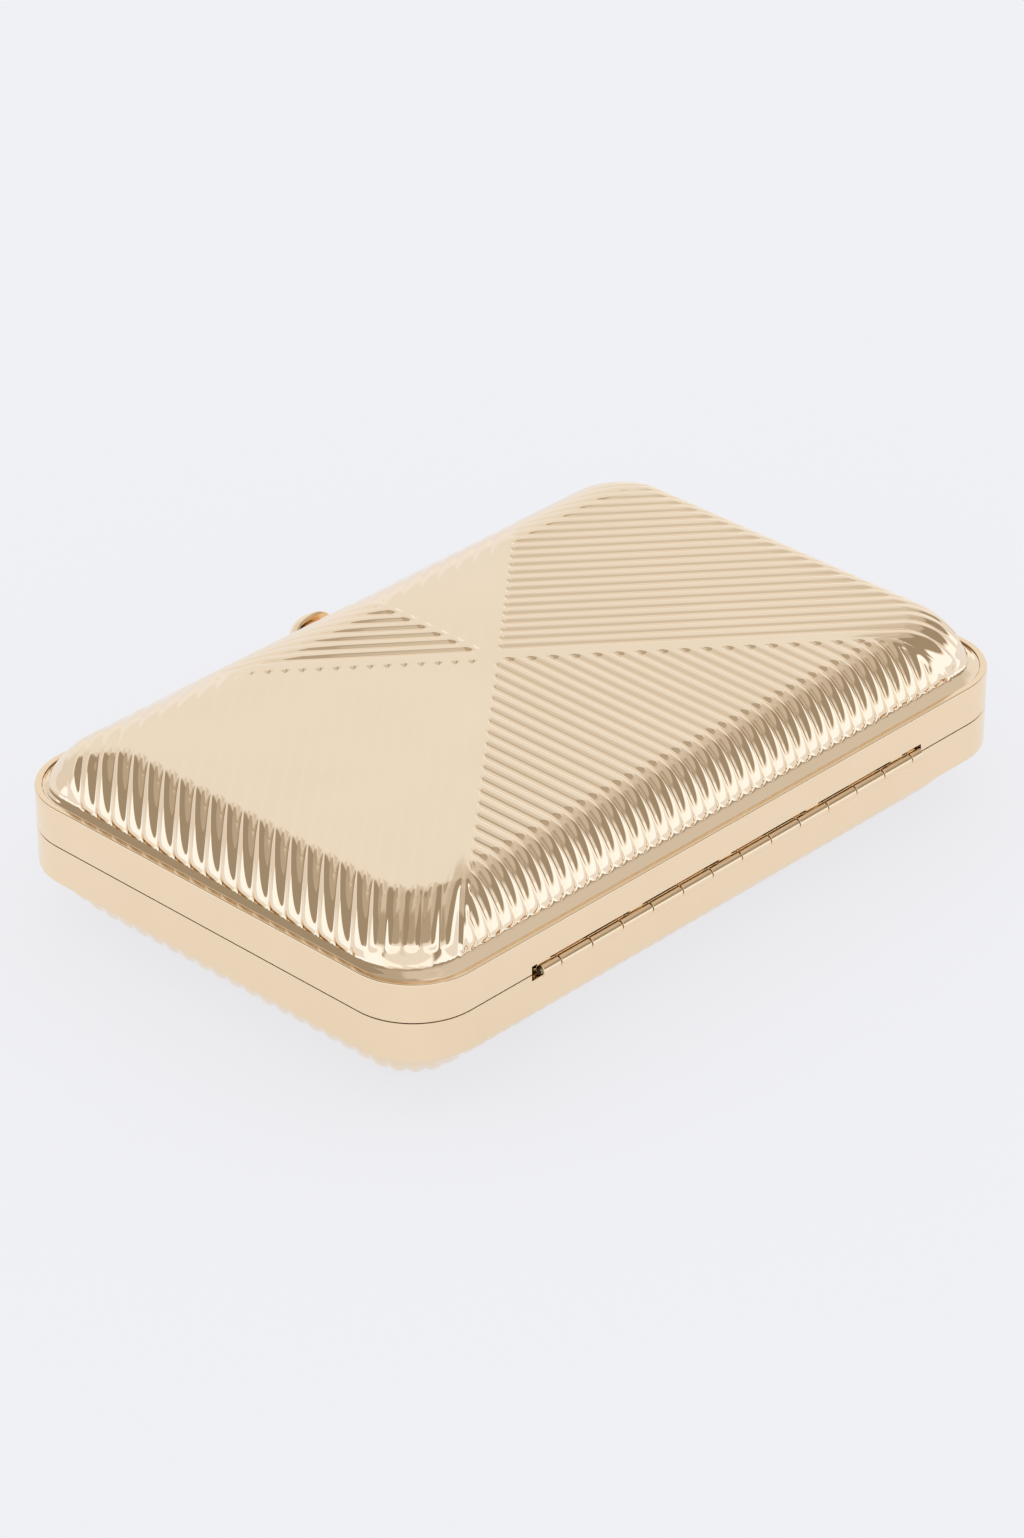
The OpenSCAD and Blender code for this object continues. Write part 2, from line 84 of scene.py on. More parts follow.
# How much nearer the foot of the slope is to the frame on the short sides and the clasp side, how
# much further from it on the hinge side, and how much further in the flat top ends by the clasp
SHORT_GAIN = 1.2
CLASP_GAIN = 1.0
HINGE_LOSS = 0.4
CLASP_TOP_LOSS = 5.0

# Ribs, lower towards the clasp, where the fade is given by the inset of its start and its length
PITCH = 3.47
RIB_W = 3.05
RIB_H = 0.48
CLASP_RIB_SHARE = 0.4
CLASP_FADE_INSET = 23.0
CLASP_FADE_L = 10.0
VALLEY_SOFT = 0.17
ARC_SHARE = 0.95
FIRST_RIB = 2.3
FIRST_CLASP_RIB = 1.85
BAND_FADE = 5.0
BAND_ANGLE = math.radians(40.5)
CROSS_Y = 7.6
TIP_SHORT = 2.9
TIP_LONG = 4.5
TIP_R = 17.0

# Rows of points: where those of a rib lie, from its middle towards the middle of the valley, and
# how far the first and the last row of a field stay from its ends
ROW_OFFSETS = (0, 0.45, 0.85, 1.16, 1.40, 1.58)
FIRST_ROW = 0.15
LAST_ROW = 0.04
TINY = 1e-3

# Less than any size here
NUDGE = 1e-6


# Surface of the shells

def ease(x):
    x = np.clip(x, 0, 1)
    return x * x * (3 - 2 * x)


def foot_and_top(d):
    """How far inset d is on the way to the foot of the slope, and from there to the flat top."""
    return (ease((d - FLANGE_INSET) / (FOOT_INSET - FLANGE_INSET)),
            ease((d - FOOT_INSET) / (TOP_INSET - FOOT_INSET)))


def ring_radius(d):
    """Corner radius of the outline at inset d."""
    foot, top = foot_and_top(d)
    flange_r = CORNER_R - FLANGE_INSET
    return flange_r + (FOOT_R - flange_r) * foot + (TOP_R - FOOT_R) * top


def half_length(d):
    """Half length of the outline at inset d."""
    foot, top = foot_and_top(d)
    return HALF_L - d + SHORT_GAIN * (foot - top)


def half_width(y, d):
    """Half width of the outline at inset d, on the side where y lies."""
    foot, top = foot_and_top(d)
    by_clasp = CLASP_GAIN * (foot - top) - CLASP_TOP_LOSS * top
    return HALF_W - d + np.where(y < 0, -HINGE_LOSS * (foot - top), by_clasp)


def is_inside(x, y, d):
    """Whether points lie inside the outline at inset d."""
    r = ring_radius(d)
    over_x = np.maximum(np.abs(x) - (half_length(d) - r), 0)
    over_y = np.maximum(np.abs(y) - (half_width(y, d) - r), 0)
    return np.hypot(over_x, over_y) <= r


HALVINGS = 44


def last_where(holds, low, high):
    """The furthest places between low and high at which a condition still holds."""
    for _ in range(HALVINGS):
        middle = (low + high) / 2
        good = holds(middle)
        low = np.where(good, middle, low)
        high = np.where(good, high, middle)
    return low


def inset_of(x, y):
    """Inset of the outline through each point, up to the flat top's."""
    low = np.full(np.shape(x), -1.0)
    high = np.full(np.shape(x), TOP_INSET)
    return last_where(lambda d: is_inside(x, y, d), low, high)


def reach(p, u):
    """Distances from points p inside the outline, along u, to the edge of the flange."""
    def is_within(distance):
        q = p + distance[:, None] * u
        return is_inside(q[:, 0], q[:, 1], FLANGE_INSET)

    return last_where(is_within, np.zeros(len(p)), np.full(len(p), 4 * HALF_L))


def sheet_height(d):
    """Height of the sheet's outer face at inset d."""
    fillet = np.clip((d - FLANGE_INSET) / (FOOT_INSET - FLANGE_INSET), 0, 1)
    slope = np.clip((d - FOOT_INSET) / (TOP_INSET - FOOT_INSET), 0, 1)
    foot_h = FLANGE_H + FOOT_RISE
    return (FLANGE_H + FOOT_RISE * fillet ** FILLET_POWER
            + (TOP_H - foot_h) * (1 - (1 - slope) ** SLOPE_POWER) ** SWELL_POWER)


PROFILE_D = np.linspace(FLANGE_INSET, TOP_INSET, 2000)
PROFILE_SLOPE = np.gradient(sheet_height(PROFILE_D), PROFILE_D)
NORMAL_STEP = 0.02


def sheet_normal(x, y):
    """Unit normals of the smooth sheet."""
    right = sheet_height(inset_of(x + NORMAL_STEP, y))
    left = sheet_height(inset_of(x - NORMAL_STEP, y))
    far = sheet_height(inset_of(x, y + NORMAL_STEP))
    near = sheet_height(inset_of(x, y - NORMAL_STEP))
    run = 2 * NORMAL_STEP
    normal = np.stack([(left - right) / run, (near - far) / run, np.ones_like(right)], -1)
    return normal / np.linalg.norm(normal, axis=-1, keepdims=True)


def from_tips(x, y):
    """Distance up the slope from the tips of the ribs, which end on an outline of their own."""
    over_x = np.abs(x) - (HALF_L - TIP_SHORT - TIP_R)
    over_y = np.abs(y) - (HALF_W - TIP_LONG - TIP_R)
    out = np.hypot(np.maximum(over_x, 0), np.maximum(over_y, 0))
    inside = TIP_R - out - np.minimum(np.maximum(over_x, over_y), 0)
    slope = np.interp(inset_of(x, y), PROFILE_D, PROFILE_SLOPE)
    return inside * np.hypot(1, slope)


def rib_height(y):
    """Height of the ribs' crests."""
    by_clasp = ease((y - HALF_W + CLASP_FADE_INSET) / CLASP_FADE_L)
    return RIB_H * (1 - (1 - CLASP_RIB_SHARE) * by_clasp)


def rib_rise(across, from_band, from_tip, crest):
    """Height of a rib: round in section, level with the band where the grooves beside it end,
    and round at its foot."""
    half = RIB_W / 2
    groove = PITCH / 2
    groove_end = np.maximum(groove - from_band, 0)
    off_crest = np.maximum(groove - np.hypot(groove - np.abs(across), groove_end), 0)
    out = np.hypot(off_crest, np.maximum(half - from_tip, 0))
    radius = (half ** 2 + crest ** 2) / (2 * crest)
    arc = np.where(out < radius * ARC_SHARE,
                   np.sqrt(np.maximum(radius ** 2 - out ** 2, 0)) - (radius - crest), -1.0)
    return (arc + np.sqrt(arc ** 2 + VALLEY_SOFT ** 2)) / 2


def field_rise(xy, offset, is_level, from_band):
    """Heights of a field's ribs at its points. Level rows have their groove only on the slope."""
    x, y = xy[..., 0], xy[..., 1]
    on_slope = ease((TOP_INSET - inset_of(x, y)) / BAND_FADE)
    across = offset[:, None] * np.where(is_level[:, None], on_slope, 1)
    return rib_rise(across, from_band, from_tips(x, y), rib_height(y))


# Mesh of a shell's outer face. One band runs from the crossing to the corner by the hinge and
# one to the corner by the clasp, and the other half is their mirror image.

COS = math.cos(BAND_ANGLE)
SIN = math.sin(BAND_ANGLE)
SLANT = math.sin(2 * BAND_ANGLE)
CROSS = np.array([0, CROSS_Y])
ALONG_HINGE_BAND = np.array([COS, SIN])
ALONG_CLASP_BAND = np.array([-COS, SIN])
OFF_HINGE_BAND = np.array([-SIN, COS])
TO_HINGE = np.array([0.0, -1.0])


def row_places(first, last, centre):
    """Places of the rows of a field between two limits, with ribs at centre + k * PITCH, each
    row's distance from the middle of its rib, and whether it lies before the first rib."""
    places = [(centre - PITCH / 2, PITCH / 2)]
    for k in range(math.ceil((last - centre) / PITCH) + 2):
        for offset in (*[-o for o in ROW_OFFSETS[:0:-1]], *ROW_OFFSETS, PITCH / 2):
            places.append((centre + k * PITCH + offset, offset))
    places = sorted(p for p in places if first < p[0] < last)
    where = np.array([p[0] for p in places])
    return where, np.array([p[1] for p in places]), where < centre


def steps(*stretches):
    """Running places from zero through stretches of (length, step)."""
    places = [0.0]
    for length, step in stretches:
        count = max(1, round(length / step))
        places += [places[-1] + length * (i + 1) / count for i in range(count)]
    return np.array(places)


END_STEPS = steps((5.1, 0.30), (7.2, 0.45), (4.0, 0.8))
START_STEPS = steps((3.6, 0.30))
MIDDLE_COUNT = 5
MIDDLE_LEAST = 2.0


def samples(lengths, start_steps, end_steps):
    """Distances along rows: dense at both ends, with a few even steps between."""
    total = start_steps[-1] + end_steps[-1] + MIDDLE_LEAST
    scale = np.minimum(1, lengths / total)[:, None]
    start = start_steps[None, :] * scale
    end = lengths[:, None] - end_steps[None, ::-1] * scale
    share = (np.arange(MIDDLE_COUNT) + 1) / (MIDDLE_COUNT + 1)
    middle = start[:, -1:] + (end[:, :1] - start[:, -1:]) * share
    return np.concatenate([start, middle, end], axis=1)


def points_along(start, t, way):
    """Points at distances t along a way from the starts of the rows."""
    return start[:, None, :] + t[..., None] * way


def zip_rows(a, b, places_a, places_b):
    """Triangles between two rows of points, taken in step with their places."""
    faces = []
    i, j = 0, 0
    while i < len(a) - 1 or j < len(b) - 1:
        step_a = j == len(b) - 1 or (i < len(a) - 1 and places_a[i + 1] <= places_b[j + 1])
        if step_a:
            faces.append((a[i], b[j], a[i + 1]))
            i += 1
        else:
            faces.append((a[i], b[j], b[j + 1]))
            j += 1
    return faces


class LeftHalf:
    """The left half of a shell's outer face, field by field: its points in plan, the height of
    the ribs there, its faces, and the points of its edge from the hinge side's middle round to
    the clasp side's middle."""

    def __init__(self):
        self.plan = []
        self.rise = []
        self.faces = []
        self.count = 0
        self.hinge_field()
        self.short_field()
        self.clasp_field()

    def add(self, xy, rise):
        """Adds points and returns their numbers."""
        first = self.count
        self.plan.append(np.reshape(xy, (-1, 2)))
        self.rise.append(np.ravel(rise))
        self.count += len(self.plan[-1])
        return np.arange(first, self.count).reshape(np.shape(rise))

    def add_flat(self, xy):
        """Adds one point that no rib lifts."""
        return self.add(xy, np.zeros(1))[0]

    def grid(self, ids):
        for a, b in zip(ids[:-1], ids[1:]):
            self.faces += [(a[i], b[i], b[i + 1], a[i + 1]) for i in range(len(a) - 1)]

    def fan(self, ids, tip):
        self.faces += [(ids[i], tip, ids[i + 1]) for i in range(len(ids) - 1)]

    def hinge_field(self):
        """Rows from the hinge band to the hinge side."""
        end = CROSS - ALONG_HINGE_BAND * reach(CROSS[None, :], -ALONG_HINGE_BAND)
        x, offset, is_level = row_places(TINY, -end[0] - TINY, 0)
        x = -np.append(0, x)
        offset = np.append(0, offset)
        is_level = np.append(False, is_level)
        start = np.stack([x, CROSS_Y + x * SIN / COS], -1)
        t = samples(reach(start, TO_HINGE), START_STEPS, END_STEPS)
        xy = points_along(start, t, TO_HINGE)
        ids = self.add(xy, field_rise(xy, offset, is_level, t))
        self.grid(ids[:, ::-1])
        end_id = self.add_flat(end)
        self.fan(ids[-1], end_id)
        self.cross_id = ids[0, 0]
        self.hinge_band = np.append(ids[:, 0], end_id)
        self.hinge_band_places = np.append(-x, -end[0]) / COS
        self.edge = [*ids[:, -1], end_id]

    def short_field(self):
        """Rows along the hinge band, from the clasp band or, past its end, from the flange, to
        the short side."""
        corner = np.array([-HALF_L + CORNER_R, HALF_W - CORNER_R]) - CROSS
        to_middle = corner @ ALONG_HINGE_BAND
        s_last = corner @ OFF_HINGE_BAND + CORNER_R - FLANGE_INSET
        s, offset, is_level = row_places(FIRST_ROW, s_last - LAST_ROW, FIRST_RIB)
        length = reach(CROSS[None, :], ALONG_CLASP_BAND)[0]
        on_band = s < length * SLANT
        start = CROSS + np.outer(s / SLANT, ALONG_CLASP_BAND)
        middle = CROSS + np.outer(s, OFF_HINGE_BAND) + to_middle * ALONG_HINGE_BAND
        past_middle = reach(middle[~on_band], ALONG_HINGE_BAND)[:, None]
        start[~on_band] = middle[~on_band] + past_middle * ALONG_HINGE_BAND
        inside = start - NUDGE * ALONG_HINGE_BAND
        t = samples(reach(inside, -ALONG_HINGE_BAND), END_STEPS, END_STEPS)
        xy = points_along(start, t, -ALONG_HINGE_BAND)
        from_band = np.where(on_band[:, None], t, PITCH)
        ids = self.add(xy, field_rise(xy, offset, is_level, from_band))
        self.grid(ids)
        self.faces += zip_rows(self.hinge_band, ids[0], self.hinge_band_places, t[0])
        corner_id = self.add_flat(CROSS + s_last * OFF_HINGE_BAND + to_middle * ALONG_HINGE_BAND)
        self.fan(ids[-1][::-1], corner_id)
        count = int(on_band.sum())
        end_id = self.add_flat(CROSS + ALONG_CLASP_BAND * length)
        self.faces.append((ids[count - 1, 0], end_id, ids[count, 0]))
        self.clasp_band = np.array([self.cross_id, *ids[:count, 0], end_id])
        self.clasp_band_places = np.array([0, *s[on_band] / SLANT, length])
        self.edge += [*ids[:, -1], corner_id, *ids[count:, 0][::-1], end_id]

    def clasp_field(self):
        """Rows along the clasp band, from the middle line to the clasp side."""
        y_last = HALF_W - FLANGE_INSET
        s, offset, is_level = row_places(FIRST_ROW, (y_last - CROSS_Y) * COS - LAST_ROW,
                                         FIRST_CLASP_RIB)
        start = np.stack([0 * s, CROSS_Y + s / COS], -1)
        t = samples(reach(start, ALONG_CLASP_BAND), START_STEPS, END_STEPS)
        xy = points_along(start, t, ALONG_CLASP_BAND)
        ids = self.add(xy, field_rise(xy, offset, is_level, t))
        self.grid(ids[:, ::-1])
        places = t[0] + s[0] * SIN / COS
        self.faces += zip_rows(self.clasp_band, ids[0], self.clasp_band_places, places)
        last_id = self.add_flat(np.array([0, y_last]))
        self.fan(ids[-1], last_id)
        self.edge += [*ids[:, -1], last_id]


# Making meshes

def make_mesh(name, points, faces, smooth=True):
    """A mesh object from points in millimetres."""
    data = bpy.data.meshes.new(name)
    data.from_pydata([tuple(p) for p in np.asarray(points) * MM], [], [tuple(f) for f in faces])
    data.validate()
    data.update()
    data.polygons.foreach_set("use_smooth", [smooth] * len(data.polygons))
    obj = bpy.data.objects.new(name, data)
    bpy.context.scene.collection.objects.link(obj)
    return obj


def ring_faces(rings, size, closed):
    """Quads between rings of size points, laid one after the other."""
    faces = []
    for k in range(rings if closed else rings - 1):
        a, b = k * size, (k + 1) % rings * size
        faces += [(a + i, a + (i + 1) % size, b + (i + 1) % size, b + i) for i in range(size)]
    return faces


def mark_sharp(obj, angle):
    """Keeps the edges that turn by more than an angle sharp in the light."""
    bm = bmesh.new()
    bm.from_mesh(obj.data)
    for e in bm.edges:
        e.smooth = not (len(e.link_faces) == 2 and e.calc_face_angle(0) > math.radians(angle))
    bm.to_mesh(obj.data)
    bm.free()


def tidy(obj, distance=1e-6, sliver=None):
    """Merges points that fall together, closes slivers if asked and turns all faces outwards."""
    bm = bmesh.new()
    bm.from_mesh(obj.data)
    bmesh.ops.remove_doubles(bm, verts=bm.verts, dist=distance)
    if sliver:
        bmesh.ops.dissolve_degenerate(bm, edges=bm.edges, dist=sliver)
    bmesh.ops.recalc_face_normals(bm, faces=bm.faces)
    bm.to_mesh(obj.data)
    bm.free()
    return obj


def dress(obj, node, body, slot):
    """Gives a piece its material and body, in place of a node."""
    obj.data.materials.clear()
    obj.data.materials.append(FINISH[slot])
    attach(obj, body)
    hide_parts(node)
    return obj


# The whole shell

UNDER_LEVELS = np.array([FLANGE_INSET, 2.6, 3.4, 4.0, 4.8, 6.0, 7.5, 9.5, 11.5, 13.5, TOP_INSET])
UNDER_TURNS = 12
SHELL_MERGE = 2e-6
SHELL_SLIVER = 1e-6
SHELL_SHARP = 50


def outer_face():
    """Points, faces and edge of a shell's outer face, both halves."""
    half = LeftHalf()
    plan = np.concatenate(half.plan)
    rise = np.concatenate(half.rise)
    x, y = plan[:, 0], plan[:, 1]
    left = np.column_stack([plan, sheet_height(inset_of(x, y))])
    left += rise[:, None] * sheet_normal(x, y)
    count = len(left)
    faces = half.faces + [tuple(i + count for i in f[::-1]) for f in half.faces]
    edge = half.edge + [i + count for i in half.edge[::-1]]
    return np.concatenate([left, left * (-1, 1, 1)]), faces, np.array(edge)


def under_ring(level, d, h):
    """Points at height h and inset d, below the outer face's outline at inset level."""
    r = ring_radius(level)
    points = []
    for quarter in range(4):
        sx = (-1, -1, 1, 1)[quarter]
        sy = (-1, 1, 1, -1)[quarter]
        for i in range(UNDER_TURNS + 1):
            turn = math.pi / 2 * (quarter + i / UNDER_TURNS)
            points.append((sx * (half_length(level) + level - d - r) - r * math.sin(turn),
                           sy * (half_width(sy, level) + level - d - r) - r * math.cos(turn), h))
    return points


def under_face():
    """Points of the rings of the sheet's inner face, from the flange to the flat top."""
    slope = np.interp(UNDER_LEVELS, PROFILE_D, PROFILE_SLOPE)
    slope[0] = 0
    length = np.hypot(1, slope)
    insets = UNDER_LEVELS + SHEET_T * slope / length
    heights = sheet_height(UNDER_LEVELS) - SHEET_T / length
    return [under_ring(*level) for level in zip(UNDER_LEVELS, insets, heights)]


def turn_of(points):
    """How far round from the hinge side's middle points lie."""
    turn = np.arctan2(-points[:, 0] / HALF_L, -points[:, 1] / HALF_W)
    return np.where(turn < -NUDGE, turn + 2 * math.pi, turn)


def flange_edge(points, edge, ring):
    """Faces of the flange's edge, between the edge of the outer face and the ring below it."""
    ring_places = turn_of(points[ring])
    order = np.argsort(ring_places)
    ring, ring_places = ring[order], ring_places[order]
    ring = np.append(ring[-1], ring)
    ring_places = np.append(ring_places[-1] - 2 * math.pi, ring_places)
    edge_places = turn_of(points[edge])
    edge_places[-1] = 2 * math.pi
    return zip_rows(edge, ring, edge_places, ring_places)


def shell(name, node, body, side):
    """A stamped shell: side is 1 for the front and -1 for the back."""
    outer, faces, edge = outer_face()
    rings = under_face()
    base, size = len(outer), len(rings[0])
    points = np.concatenate([outer, *rings])
    faces += [tuple(base + i for i in f) for f in ring_faces(len(rings), size, False)]
    faces.append(tuple(range(len(points) - size, len(points))))
    faces += flange_edge(points, edge, np.arange(base, base + size))
    points = points * (1, 1, side) + (0, 0, SEAM_Z)
    if side < 0:
        faces = [f[::-1] for f in faces]
    obj = tidy(make_mesh(name, points, faces), SHELL_MERGE, SHELL_SLIVER)
    mark_sharp(obj, SHELL_SHARP)
    dress(obj, node, body, "shell_metal")


# Frames, hinge, clasp and linings

FRAME_T = 1.5
LEDGE_INSET = 3.9
LEDGE_TOP = FLANGE_H - SHEET_T
LEDGE_T = 0.9
SEAM_OUT_R = 0.16
RIM_OUT_R = 0.34
RIM_IN_R = 0.2
LEDGE_R = 0.1
SEAM_IN_R = 0.12
BAND_TURNS = 24
BAND_BEVEL = 0.07

# Hinge: its place, its notch in the bands with the tabs that hang in it, and its leaves
HINGE_X = (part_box("back_hinge_leaf")[0].x / MM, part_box("back_hinge_leaf")[1].x / MM)
AXIS_OUT = 0.1
AXIS_Y = -HALF_W - AXIS_OUT
BARREL_R = 1.3
BORE_R = 0.65
NOTCH_H = 1.45
NOTCH_LEFT = 2.0
NOTCH_RIGHT = 0.5
SLOT_H = 1.9
TAB_W = 3.7
TAB_START = 1.3
TAB_STEP = 26.4
KNUCKLE_FIRST = 5.1
KNUCKLE_STEP = 8.8
KNUCKLE_GAP = 0.15
KNUCKLE_CHAMFER = 0.20
KNUCKLE_SOFT_SHARE = 0.3
KNUCKLE_TURNS = 40
LEAF_T = 0.7
LEAF_LOW = 0.15
LEAF_HIGH = 5.6
LEAF_R = 0.12
LEAF_BEVEL = 0.03
WEB_OUT = 0.875
WEB_OVERLAP = 0.1

# How far a cutter starts outside what it cuts, and how far it goes past its far face
CUT_START = 1.0
CUT_PAST = 0.05

# Least angle of an edge that is rounded, and how much its flat neighbours' size counts there
BEVEL_ANGLE = 40
FLAT_WEIGHT = 80


def rounded(corners, count=4):
    """A closed outline through (x, y, radius) corners."""
    points = []
    for i, (x, y, r) in enumerate(corners):
        here = np.array([x, y], dtype=float)
        before = corners[i - 1][:2] - here
        after = corners[(i + 1) % len(corners)][:2] - here
        before = before / np.linalg.norm(before)
        after = after / np.linalg.norm(after)
        if r == 0:
            points.append(here)
            continue
        half = math.acos(np.clip(before @ after, -1, 1)) / 2
        bisector = (before + after) / np.linalg.norm(before + after)
        centre = here + bisector * r / math.sin(half)
        start = here + before * r / math.tan(half) - centre
        end = here + after * r / math.tan(half) - centre
        turn = math.atan2(start[0] * end[1] - start[1] * end[0], start @ end)
        for k in range(count + 1):
            c, s = math.cos(turn * k / count), math.sin(turn * k / count)
            points.append(centre + (c * start[0] - s * start[1], s * start[0] + c * start[1]))
    return np.array(points)


def prism(name, outline, place):
    """A prism: place(u, v, end) gives the point over (u, v) at end 0 or 1."""
    size = len(outline)
    points = [place(u, v, end) for end in (0, 1) for u, v in outline]
    faces = ring_faces(2, size, False) + [tuple(range(size))[::-1], tuple(range(size, 2 * size))]
    return tidy(make_mesh(name, points, faces))


def lathe(name, profile, place, count):
    """A turned solid: profile points are (along, radius), and the axis is closed at radius 0."""
    points = []
    for along, r in profile:
        turns = [2 * math.pi * k / count for k in range(count)]
        points += [place(along, r * math.cos(a), r * math.sin(a)) for a in turns]
    ring = profile[0][1] > 0
    return tidy(make_mesh(name, points, ring_faces(len(profile), count, ring)))


def bake(obj):
    """Applies an object's modifiers."""
    graph = bpy.context.evaluated_depsgraph_get()
    graph.update()
    data = bpy.data.meshes.new_from_object(obj.evaluated_get(graph), depsgraph=graph,
                                           preserve_all_data_layers=True)
    old = obj.data
    obj.modifiers.clear()
    obj.data = data
    bpy.data.meshes.remove(old)
    return obj


def combine(obj, other, operation):
    """Cuts another object out of this one, or joins it on."""
    step = obj.modifiers.new("step", "BOOLEAN")
    step.operation = operation
    step.solver = "EXACT"
    step.object = other
    bake(obj)
    bpy.data.objects.remove(other)


def soften(obj, width, segments):
    """Rounds the sharp edges a little, and keeps the flat faces flat in the light."""
    edges = obj.modifiers.new("edges", "BEVEL")
    edges.width = width * MM
    edges.segments = segments
    edges.limit_method = "ANGLE"
    edges.angle_limit = math.radians(BEVEL_ANGLE)
    weights = obj.modifiers.new("weights", "WEIGHTED_NORMAL")
    weights.keep_sharp = False
    weights.weight = FLAT_WEIGHT
    return bake(obj)


def corner_places(half_l, half_w, r, count):
    """Centre and direction of each place round the four corners of a rounded rectangle."""
    places = []
    for quarter in range(4):
        cx = (1, -1, -1, 1)[quarter] * (half_l - r)
        cy = (1, 1, -1, -1)[quarter] * (half_w - r)
        for i in range(count + 1):
            turn = math.pi / 2 * (quarter + i / count)
            places.append((cx, cy, math.cos(turn), math.sin(turn)))
    return places


def notch_outline(top, tabs):
    """Outline of the notch along the case, over X and height, with tabs that hang down in it."""
    x0, x1 = HINGE_X[0] - NOTCH_LEFT, HINGE_X[1] + NOTCH_RIGHT
    outline = [(x0, -CUT_START), (x0, top)]
    for centre in tabs:
        outline += [(centre - TAB_W / 2, top), (centre - TAB_W / 2, NOTCH_H),
                    (centre + TAB_W / 2, NOTCH_H), (centre + TAB_W / 2, top)]
    return outline + [(x1, top), (x1, -CUT_START)]


def bent_band(name, side):
    """A wall with an inner ledge, bent round the case."""
    ledge_low = LEDGE_TOP - LEDGE_T
    section = rounded([(0, SEAM_GAP / 2, SEAM_OUT_R), (0, FRAME_TOP, RIM_OUT_R),
                       (FRAME_T, FRAME_TOP, RIM_IN_R), (FRAME_T, LEDGE_TOP, 0),
                       (LEDGE_INSET, LEDGE_TOP, LEDGE_R), (LEDGE_INSET, ledge_low, LEDGE_R),
                       (FRAME_T, ledge_low, 0), (FRAME_T, SEAM_GAP / 2, SEAM_IN_R)])
    turns = corner_places(HALF_L, HALF_W, CORNER_R, BAND_TURNS)
    points = [(cx + (CORNER_R - d) * ux, cy + (CORNER_R - d) * uy, SEAM_Z + side * h)
              for cx, cy, ux, uy in turns for d, h in section]
    return tidy(make_mesh(name, points, ring_faces(len(turns), len(section), True)))


def cut_hinge_notch(band, side, top, tabs):
    depth = CUT_START + FRAME_T + CUT_PAST
    cutter = prism("cutter", notch_outline(top, tabs), lambda u, v, end:
                   (u, -HALF_W - CUT_START + end * depth, SEAM_Z + side * v))
    combine(band, cutter, "DIFFERENCE")


def cut_collar_bore(band):
    r = COLLAR_TUBE_R + COLLAR_GAP
    start, end = HALF_W - FRAME_T - CUT_START, HALF_W + CUT_START
    bore = lathe("cutter", [(start, 0), (start, r), (end, r), (end, 0)],
                 lambda along, a, b: (a, along, CLASP_Z + b), COLLAR_BORE_TURNS)
    combine(band, bore, "DIFFERENCE")


def front_band():
    band = bent_band("front_band", 1)
    cut_hinge_notch(band, 1, SLOT_H, np.arange(HINGE_X[0] + TAB_START, HINGE_X[1], TAB_STEP))
    cut_collar_bore(band)
    dress(soften(band, BAND_BEVEL, 2), "front_frame", "lid", "frame_metal")


def back_band():
    band = bent_band("back_band", -1)
    cut_hinge_notch(band, -1, NOTCH_H, ())
    dress(soften(band, BAND_BEVEL, 2), "back_frame", "back_half", "frame_metal")


def knuckle_profile(x0, x1):
    """Outline of a knuckle from bore to bore, with its soft chamfers."""
    c = KNUCKLE_CHAMFER
    soft = KNUCKLE_SOFT_SHARE * c
    start = [(x0, BORE_R), (x0, BARREL_R - c), (x0 + soft, BARREL_R - soft), (x0 + c, BARREL_R)]
    end = [(x1 - c, BARREL_R), (x1 - soft, BARREL_R - soft), (x1, BARREL_R - c), (x1, BORE_R)]
    return start + end


def hinge_leaf(name, node, body, side, first):
    """A hinge leaf: a plate inside the frame with every other knuckle of the barrel."""
    def along(x0, x1):
        return lambda u, v, end: (x1 if end else x0, -HALF_W + u, SEAM_Z + side * v)

    leaf_in = FRAME_T + LEAF_T
    plate = rounded([(FRAME_T, LEAF_LOW, LEAF_R), (leaf_in, LEAF_LOW, LEAF_R),
                     (leaf_in, LEAF_HIGH, LEAF_R), (FRAME_T, LEAF_HIGH, LEAF_R)])
    web_in, web_high = FRAME_T + WEB_OVERLAP, LEAF_LOW + LEAF_T
    web = [(WEB_OUT, LEAF_LOW), (web_in, LEAF_LOW), (web_in, web_high), (WEB_OUT, web_high)]
    leaf = prism(name, plate, along(*HINGE_X))
    count = int((HINGE_X[1] - HINGE_X[0] - KNUCKLE_FIRST) / KNUCKLE_STEP)
    ends = [HINGE_X[0], *(HINGE_X[0] + KNUCKLE_FIRST + KNUCKLE_STEP * np.arange(count + 1)),
            HINGE_X[1]]
    for x0, x1 in list(zip(ends, ends[1:]))[first::2]:
        x0, x1 = x0 + KNUCKLE_GAP, x1 - KNUCKLE_GAP
        combine(leaf, prism("web", web, along(x0 + KNUCKLE_CHAMFER, x1 - KNUCKLE_CHAMFER)), "UNION")
        knuckle = lathe("knuckle", knuckle_profile(x0, x1),
                        lambda x, a, b: (x, AXIS_Y + a, SEAM_Z + b), KNUCKLE_TURNS)
        combine(leaf, knuckle, "UNION")
    leaf.data.polygons.foreach_set("use_smooth", [True] * len(leaf.data.polygons))
    dress(soften(leaf, LEAF_BEVEL, 1), node, body, "frame_metal")


